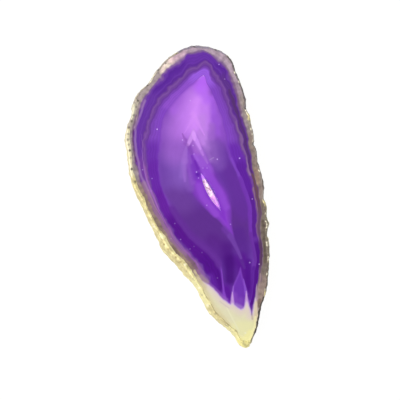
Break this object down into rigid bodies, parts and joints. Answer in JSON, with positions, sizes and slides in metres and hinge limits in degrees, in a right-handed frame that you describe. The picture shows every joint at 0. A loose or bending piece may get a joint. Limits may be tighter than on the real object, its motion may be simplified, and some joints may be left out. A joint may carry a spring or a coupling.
{
  "type": "agate slice",
  "caption": "Long teardrop slice of dyed banded agate with polished faces, a rough metal-plated edge, an undyed pale tip and a narrow crystal-lined slit.",
  "frame": {"origin": "middle of the bounding box's underside, on the plane of the sawn back face", "axes": "+Y along the slice from its pointed, undyed tip to its round end, +Z out of the polished front face, +X to the right when the front is seen with +Y up"},
  "size_m": [0.034, 0.08, 0.0053],
  "materials": {
    "agate": "polished chalcedony, dyed purple in bands, undyed cream tip",
    "plated_edge": "pale gold electroplate over a rough, lumpy natural rind",
    "quartz": "clear to pinkish white crystals with flat faces"
  },
  "bodies": {
    "root": {"agate_slice": "agate", "gold_edge": "plated_edge", "quartz_druse": "quartz"}
  },
  "joints": []
}
